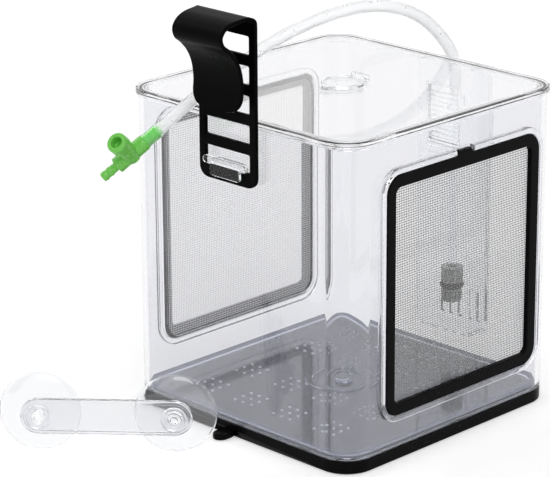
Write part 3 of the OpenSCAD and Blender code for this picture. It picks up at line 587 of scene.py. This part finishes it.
inlet_step = 6
intake = moulded("lift_intake", duct_w, duct_d - 0.03, [
    (5, 16, 0, 0.5), (0, 16, 0.6, 1.2), (0, 58, 0.3, 1.2), (5, 58, 0, 0.5)])
boolean(shifted(intake, lift_x, (y0 + y1) / 2, 0), "DIFFERENCE",
        block("hollow", (x0 + duct_t, 70, 18), (x1 - duct_t, y1 - duct_t, 60)),
        *(block("slot", (x - 1.5, y1 - 5, 20), (x + 1.5, y1 + 2, 36))
          for x in (lift_x + i * inlet_step for i in (-2, -1, 0, 1, 2))))
dress(intake, lift_clear, "tank", "clear_part", "intake_box")

grille = moulded("lift_grille", 21.5, 29.9, [
    (0, -2.35, 0.2, 1.2), (0, -0.05, 0.3, 1.2), (1.2, -0.05, 0.3, 0.6), (1.2, -2.35, 0.2, 0.6)],
    closed=True, steps=2, corner_steps=3)
blades, blade_step, blade_tilt = 10, 2.5, math.radians(58)
for i in range(blades):
    blade = moulded("blade", 19.5, 2.3, [(0.3, -0.5, 0, 0.2), (0, -0.5, 0.2, 0.45),
                                         (0, 0.5, 0.2, 0.45), (0.3, 0.5, 0, 0.2)], steps=2,
                    corner_steps=3)
    blade.data.transform(
        Matrix.Translation(Vector((0, (i - (blades - 1) / 2) * blade_step, -1.2)) * mm)
        @ Euler((blade_tilt, 0, 0)).to_matrix().to_4x4())
    boolean(grille, "UNION", blade)
grille.data.transform(Matrix.Translation(Vector((lift_x, 75, 132.6)) * mm)
                      @ Matrix(((1, 0, 0, 0), (0, 0, 1, 0), (0, 1, 0, 0), (0, 0, 0, 1))))
grille.data.flip_normals()
dress(grille, clear_part, "tank", "clear_part", "outlet_grille")

bend, inner = ([(69.1 - r * math.cos(w), 114.6 + r * math.sin(w))
                for w in (0.5 * math.pi * k / 8 for k in range(9))] for r in (3, 1.5))
spout_side = bend + [(72.55, 117.6), (72.55, 116.1)] + inner[::-1]
spout = loft("lift_spout", [[(x, y, z) for y, z in spout_side] for x in (-7.2, 8.8)])
dress(spout, lift_clear, "tank", "clear_part", "outlet_spout")

pipe_y, pipe_top = 83.3, 141.0
holder = turned("pipe_holder_ring", [(2.56, 133, 0.2), (2.56, 139, 0.2), (4.5, 139, 0.4),
                                     (4.5, 133, 0.4)], closed=True)
arm = moulded("arm", 3, 3.8, [(0.8, 133, 0, 0.2), (0, 133, 0.3, 0.4), (0, 139, 0.3, 0.4),
                              (0.8, 139, 0, 0.2)], corner_steps=3)
boolean(holder, "UNION", shifted(arm, 0, 4.75, 0))
dress(shifted(holder, lift_x, pipe_y, 0), lift_clear, "tank", "clear_part", "pipe_holder")

# The air pipe and its nozzle: a stiff clear pipe takes the air down, and a fluted sleeve,
# a darker collar and a slotted cage at its end break it into bubbles.
def flute(obj, count, beyond, depth, low, high):
    """Gives a turned piece that many shallow flutes, on its skin beyond that radius."""
    for vert in obj.data.vertices:
        x, y, z = vert.co
        if math.hypot(x, y) > beyond * mm and low * mm < z < high * mm:
            dent = 1 - depth * (0.5 - 0.5 * math.cos(count * math.atan2(y, x)))
            vert.co = (x * dent, y * dent, z)


pipe = turned("air_pipe_clear", [(1.5, 44.82, 0.2), (2.5, 44.82, 0.3), (2.5, pipe_top, 0.3),
                                 (1.5, pipe_top, 0.2)], 28, closed=True)
sleeve_grey = plastic("nozzle sleeve grey", (0.54, 0.55, 0.545), 0.3, shade=0.2, ripple=0.02,
                      ripple_size=300, IOR=1.5, Transmission_Weight=0.15)
collar_grey = plastic("nozzle collar grey", (0.05, 0.052, 0.05), 0.35, shade=0.2, IOR=1.5)
sleeve = turned("nozzle_sleeve_grey", [
    (1.6, 41.42, 0.1), (5.75, 41.42, 0.3), (5.75, 42, 0), (5.75, 49, 0), (5.75, 49.8, 0.6),
    (2.56, 49.8, 0.3), (2.56, 44.8, 0), (1.6, 44.8, 0)], 96, closed=True)
flute(sleeve, 10, 5.6, 0.2, 41.9, 49.1)
nozzle_collar = turned("nozzle_collar_grey", [
    (1.5, 38.02, 0.1), (4.9, 38.02, 0.1), (4.9, 38.9, 0.1), (6.3, 38.9, 0.4), (6.3, 40.7, 0.4),
    (5, 40.7, 0.1), (5, 41.38, 0.1), (1.5, 41.38, 0.1)], 36, closed=True)
cage = turned("nozzle_cage_grey", [
    (1, 31, 0), (5.25, 31, 0.6), (5.25, 38, 0.2), (3.85, 38, 0.1), (3.85, 32.4, 0.3),
    (1, 32.4, 0)], 48)
cage_slots = 12
for k in range(cage_slots):
    slot_cut = block("slot", (4.2, -0.6, 32.2), (7, 0.6, 37))
    slot_cut.data.transform(Matrix.Rotation(math.radians(360 / cage_slots * k), 4, "Z"))
    boolean(cage, "DIFFERENCE", slot_cut)
for piece, finish, slot, node in (
        (pipe, lift_clear, "clear_part", "air_pipe"),
        (sleeve, sleeve_grey, "grey_plastic", "nozzle_sleeve"),
        (nozzle_collar, collar_grey, "grey_plastic", "nozzle_collar"),
        (cage, sleeve_grey, "grey_plastic", "nozzle_cage")):
    dress(shifted(piece, lift_x, pipe_y, 0), finish, "tank", slot, node)

# The wall hook: a clear moulding glued to the front wall. Its arm passes through a slot
# of the bracket, and the cross bar and the lip behind it keep the bracket on.
hook = moulded("wall_hook_clear", 19.6, 6, [
    (2, 138.8, 0, 1), (0, 138.8, 0.3, 1.2), (0, 141.3, 0.4, 1.2), (2, 141.3, 0, 1)])
shifted(hook, 0, -78.03, 0)


def facing_front(obj, z):
    """Turns a piece drawn flat so that its height runs towards the front."""
    obj.data.transform(Matrix(((1, 0, 0, 0), (0, 0, -1, 0), (0, 1, 0, z * mm), (0, 0, 0, 1))))
    return obj


lip = facing_front(moulded("lip", 19.6, 8, [
    (2, 79.1, 0, 1), (0, 79.1, 0.4, 1.6), (0, 81.1, 0.5, 1.6), (2, 81.1, 0, 1)]), 137.3)
bar = facing_front(moulded("bar", 29.4, 3.8, [
    (1, 79.1, 0, 0.9), (0, 79.1, 0.4, 1.89), (0, 81.1, 0.6, 1.89), (1, 81.1, 0, 0.9)]), 140.7)
boolean(hook, "UNION", lip, bar)
dress(hook, lift_clear, "tank", "clear_part", "wall_hook")

# The hanging bracket: a strip of satin black plastic with five height slots. Over its
# upper end it is bent into a spring that grips the rim of the aquarium.
strip_t, plate_y, foot_z, head_z = 2.1, -77.75, 131.2, 214.5
spring_line = [(0, -9), (0, -5), (-0.4, -2.6), (-2.4, -1.2), (-6.8, -1.3), (-12.4, -2),
               (-16.8, -3.9), (-19.2, -7.4), (-18.2, -11.4), (-14.4, -14.6), (-10.2, -19.4),
               (-7.4, -25.4), (-6.2, -33), (-6.8, -40), (-8.3, -46)]
bent = smooth_line([(0, y, z) for y, z in spring_line], 6)
foot_r, foot_steps, tongue_r = 5.5, 8, 8
foot = [foot_z - head_z + foot_r * (1 - math.cos(0.5 * math.pi * k / foot_steps))
        for k in range(foot_steps + 1)]
strip_line = [Vector((0, 0, z)) for z in (*foot, -70, -55, -40, -25, -15)] + bent
length = [0.0]
for a, b in zip(strip_line, strip_line[1:]):
    length.append(length[-1] + (b - a).length)
# Half the strip's width at three distances out from the plate.
strip_plan = [(0.8, 19.1), (4.5, 17.05), (16, 16.15)]


def strip_half(i):
    """Half the strip's width at a point of its line. It narrows in two steps over the top
    bend, keeps the tongue's width from there, and has rounded corners at both ends."""
    out = max(0, -min(p.y for p in strip_line[:i + 1]))
    half = strip_plan[0][1]
    for (a, wide), (b, narrow) in zip(strip_plan, strip_plan[1:]):
        half -= (wide - narrow) * min(1, max(0, (out - a) / (b - a)))
    for run, r in ((length[i], foot_r), (length[-1] - length[i], tongue_r)):
        if run < r:
            half -= r - math.sqrt(max(r * r - (r - run) ** 2, 0))
    return half


def strip_ring(i):
    """The strip's cross-section at a point of its line: a flat bar with rounded edges."""
    along = strip_line[min(i + 1, len(strip_line) - 1)] - strip_line[max(i - 1, 0)]
    along.normalize()
    out = Vector((0, -along.z, along.y))
    half = strip_half(i)
    e, h = 0.5, strip_t / 2
    ring = []
    for sx, sn, start in ((1, 1, 0), (-1, 1, 90), (-1, -1, 180), (1, -1, 270)):
        for k in range(4):
            w = math.radians(start + 30 * k)
            ring.append(strip_line[i] + Vector((sx * (half - e) + e * math.cos(w), 0, 0))
                        + out * (sn * (h - e) + e * math.sin(w)))
    return [p + Vector((0, plate_y, head_z)) for p in ring]


bracket = loft("bracket_black", [strip_ring(i) for i in range(len(strip_line))])
slot_w, slot_h, slot_low, slot_step = 29.6, 9, 7.2, 14.3
slot_profile = [
    (3, 70, 0, 0.2), (-0.6, 70, 0, 1.6), (-0.6, 76.7, 0, 1.6), (0, 76.7, 0.5, 1),
    (0, 78.8, 0.5, 1), (-0.6, 78.8, 0, 1.6), (-0.6, 80.5, 0, 1.6), (3, 80.5, 0, 0.2)]
for i in range(5):
    boolean(bracket, "DIFFERENCE", facing_front(
        moulded("slot", slot_w, slot_h, slot_profile, corner_steps=4),
        foot_z + slot_low + slot_h / 2 + slot_step * i))
black_satin = plastic("black satin plastic", (0.0022, 0.0022, 0.0024), 0.34, grain=1800,
                      shade=0.3, ripple=0.015, ripple_size=900, IOR=1.5,
                      Specular_IOR_Level=0.025)
dress(bracket, black_satin, "bracket", "black_plastic", "hanger_bracket")

# The lid: a clear panel that stands out over the tank, with a rim that hangs over the
# tank's edge, a rib that centres it, the feeding hole, and two ears for the cover's pin.
lid_w, lid_top = 152.8, 163.4
hole_rings = fillet([(20, tank_top, 0, 0), (9, tank_top, 0.35, 0), (9, lid_top, 0.35, 0),
                     (20, lid_top, 0, 0)])[1:-1]
rim_rows = fillet([
    (30, lid_top, 0, 2), (0, lid_top, 0.7, 16.6), (0, 160.2, 0.4, 16.6),
    (1.1, 160.2, 0.25, 15.5), (1.1, tank_top, 0.2, 15.5), (4.5, tank_top, 0.3, 11.9),
    (4.5, 158.5, 0.4, 11.9), (6.1, 158.5, 0.4, 10.3), (6.1, tank_top, 0.4, 10.3),
    (30, tank_top, 0, 2)])[1:-1]


def with_sides(ring, parts=14):
    """An outline with points along its four straight sides too."""
    full, quarter = [], len(ring) // 4
    for k, here in enumerate(ring):
        full.append(here)
        if k % quarter == quarter - 1:
            after = Vector(ring[(k + 1) % len(ring)])
            full += [tuple(Vector(here).lerp(after, i / parts)) for i in range(1, parts)]
    return full


rim_rings = [with_sides(outline(lid_w - 2 * a, lid_w - 2 * a, corner, z, 12))
             for a, z, corner in rim_rows]
turns = [math.atan2(y, x) for x, y, _ in rim_rings[0]]
lid = loft("lid_clear", rim_rings + [[(r * math.cos(w), r * math.sin(w), z) for w in turns]
                                     for r, z, _ in hole_rings], closed=True)
hinge_y, hinge_z = 12.4, 165.4


def along_x(name, shape, x0, x1, edge=0.25):
    """A shape drawn in Y and Z, as long as from x0 to x1, with its end edges eased."""
    middle = Vector((sum(p[0] for p in shape), sum(p[1] for p in shape))) / len(shape)
    rings = []
    for x, inset in ((x0, edge), (x0 + edge, 0), (x1 - edge, 0), (x1, edge)):
        rings.append([(x, *(middle + out * (1 - inset / out.length)))
                      for out in (Vector(p) - middle for p in shape)])
    return loft(name, rings)


def disc(r, steps, at=(0, 0)):
    """A circle's points without their level."""
    return [p[:2] for p in circle(r, 0, steps, at)]


hinge = (hinge_y, hinge_z)
ear = disc(1.5, 24, hinge)[:13] + [(hinge_y - 1.5, 162.6), (hinge_y + 1.5, 162.6)]
boolean(lid, "UNION", along_x("ear", ear, -5.4, -3.6), along_x("ear", ear, 3.6, 5.4))
boolean(lid, "DIFFERENCE", along_x("bore", disc(0.85, 20, hinge), -6, 6, 0.01))
lid_plastic = lets_light_through(plastic(
    "clear lid plastic", (0.985, 0.984, 0.993), 0.02, ripple=0.03, ripple_size=35, IOR=1.49,
    Transmission_Weight=1.0), 0.97)
dress(lid, lid_plastic, "lid", "clear_plastic", "lid")

# The feeding cover: a round clear flap over the feeding hole, with its barrel and pin
# between the lid's ears, and a tab in front to lift it by.
cover = turned("cover_clear", [(3, 163.5, 0), (10.75, 163.5, 0.3), (10.75, 165.4, 0.6),
                               (9.4, 165.4, 0.2), (8.9, 165, 0.3), (3, 165, 0)], 48)
tab = moulded("tab", 6.6, 8, [
    (1, 163.5, 0, 1), (0, 163.5, 0.3, 1.6), (0, 165.4, 0.5, 1.6), (1, 165.4, 0, 1)],
    corner_steps=5)
arm = moulded("arm", 6.6, 4.5, [
    (1, 163.52, 0, 0.2), (0, 163.52, 0.2, 0.3), (0, 165.35, 0.2, 0.3), (1, 165.35, 0, 0.2)],
    corner_steps=3)
boolean(cover, "UNION", shifted(tab, 0, -9.75, 0), shifted(arm, 0, 10.4, 0),
        along_x("barrel", disc(1.5, 24, hinge), -3.3, 3.3),
        along_x("pin", disc(0.8, 20, hinge), -5.4, 5.4, 0.15))
dress(cover, clear_part, "feed_cover", "clear_part", "feed_cover")

# The air valve: a green moulding with a barb at each end and a branch on its side, in
# which the hollow knob with its needle is screwed to set the flow of air.
to_valve = Matrix.Translation(Vector((-38.1, -95.7, 147.4)) * mm) @ Euler(
    [math.radians(a) for a in (-39.6, 39.7, -127)]).to_matrix().to_4x4()
laid_along_x = Matrix(((0, 0, 1, 0), (1, 0, 0, 0), (0, 1, 0, 0), (0, 0, 0, 1)))
green = plastic("green plastic", (0.215, 0.75, 0.105), 0.26, grain=700, shade=0.1, ripple=0.02,
                ripple_size=500, IOR=1.5, Transmission_Weight=0.12)
valve = turned("valve_green", [
    (1.2, -8.5, 0), (2.1, -8.5, 0.4), (2.5, -6.6, 0.2), (2.1, -5.4, 0.2), (2.5, -3.6, 0.2),
    (2.1, -2.4, 0.2), (2.1, 0, 0), (3.7, 0, 0.4), (4, 1.6, 0.3), (4, 6.4, 0.3),
    (3.6, 6.8, 0.2), (3.6, 7.4, 0.2), (4, 7.8, 0.3), (4, 18.2, 0.4), (2.2, 18.6, 0.2),
    (2.2, 21, 0.2), (2.5, 22.2, 0.2), (2.1, 24, 0.2), (2.5, 25.2, 0.2), (2.2, 27.2, 0.6),
    (1.2, 27.2, 0)], 36)
valve.data.transform(laid_along_x)
branch_x = 9.6
branch = turned("branch", [(2, -2, 0), (4.5, -2, 0), (4.5, 7.8, 0.4), (4.2, 8.6, 0.3),
                           (1.55, 8.6, 0.2), (1.55, 3, 0)], 36)
boolean(valve, "UNION", shifted(branch, branch_x, 0, 0))
boolean(valve, "DIFFERENCE", along_x("air way", disc(1.2, 16), 19.5, 28, 0.01))
valve.data.transform(to_valve)
dress(valve, green, "lid", "green_plastic", "valve_body")

knob = turned("valve_knob_green", [
    (0.8, 0.3, 0), (1.5, 0.3, 0.3), (1.5, 8.95, 0), (4.7, 8.95, 0.3), (5.1, 9.6, 0.2),
    (5.1, 14.7, 0.3), (4.6, 15.3, 0.4), (2.8, 15.3, 0.4), (2.8, 10.7, 0.4), (0.8, 10.7, 0)], 72)
flute(knob, 18, 4.95, 0.035, 9.4, 14.9)
shifted(knob, branch_x, 0, 0).data.transform(to_valve)
dress(knob, green, "valve_knob", "green_plastic", "valve_knob")

# The suction set, which stands beside the box: a clear bar with a soft suction cup at
# each end, turned so that the cups' hollows face the box.
to_bar = Matrix.Translation(Vector((-33.2, -128.3, 20)) * mm) @ Matrix.Rotation(
    math.radians(41.4), 4, "Z") @ Matrix.Rotation(math.radians(90), 4, "X")
soft_clear = lets_light_through(plastic(
    "soft clear", (0.945, 0.95, 0.965), 0.04, ripple=0.09, ripple_size=90, IOR=1.5,
    Transmission_Weight=0.95), 0.93)
suction_bar = moulded("suction_bar_clear", 83.1, 17.6, [
    (4, 6.1, 0, 4.8), (0, 6.1, 0.4, 8.79), (0, 9.1, 0.5, 8.79), (1.6, 9.1, 0.3, 7.2),
    (2, 7.9, 0.3, 6.8), (4, 7.9, 0, 4.8)])
cup_place, neck_hole_r = 32.75, 3.45
boolean(suction_bar, "DIFFERENCE", *(
    loft("neck hole", [circle(neck_hole_r, z, 32, (side * cup_place, 0)) for z in (5, 10)])
    for side in (-1, 1)))
suction_bar.data.transform(to_bar)
bar_clear = lets_light_through(plastic(
    "suction bar clear", (0.86, 0.865, 0.885), 0.06, ripple=0.05, ripple_size=70, IOR=1.5,
    Transmission_Weight=0.93), 0.93)
dress(suction_bar, bar_clear, "base", "clear_part", "suction_bar")

# A cup's side: the dish from its hollow's middle out to the rim, back over the outside to
# the neck, and the head with its stepped rings.
quarter = [0.5 * math.pi * k / 14 for k in range(14)]
cup_side = [
    (0.6, 4.39, 0), *((19.2 * math.cos(w), 4.4 * math.sin(w), 0) for w in quarter[::-1]),
    *((20 * math.cos(w), 0.8 + 5.2 * math.sin(w), 0) for w in quarter[:12]),
    (3.4, 5.95, 0), (3.4, 9.2, 0.1), (6.3, 9.2, 0.3), (6.3, 11, 0.5), (5.4, 11, 0.2),
    (5.1, 9.9, 0.2), (4.5, 9.9, 0.2), (4.2, 11, 0.2), (3.6, 11, 0.2), (3.3, 9.9, 0.2),
    (2.7, 9.9, 0.2), (2.4, 11, 0.2), (1.8, 11, 0.2), (1.5, 9.8, 0.2), (0.6, 9.8, 0)]
for side, hand in ((1, "right"), (-1, "left")):
    cup = turned("cup_" + hand + "_soft", cup_side, 64)
    shifted(cup, side * cup_place, 0, 0).data.transform(to_bar)
    dress(cup, soft_clear, "cup_" + hand, "soft_clear", "cup_" + hand)
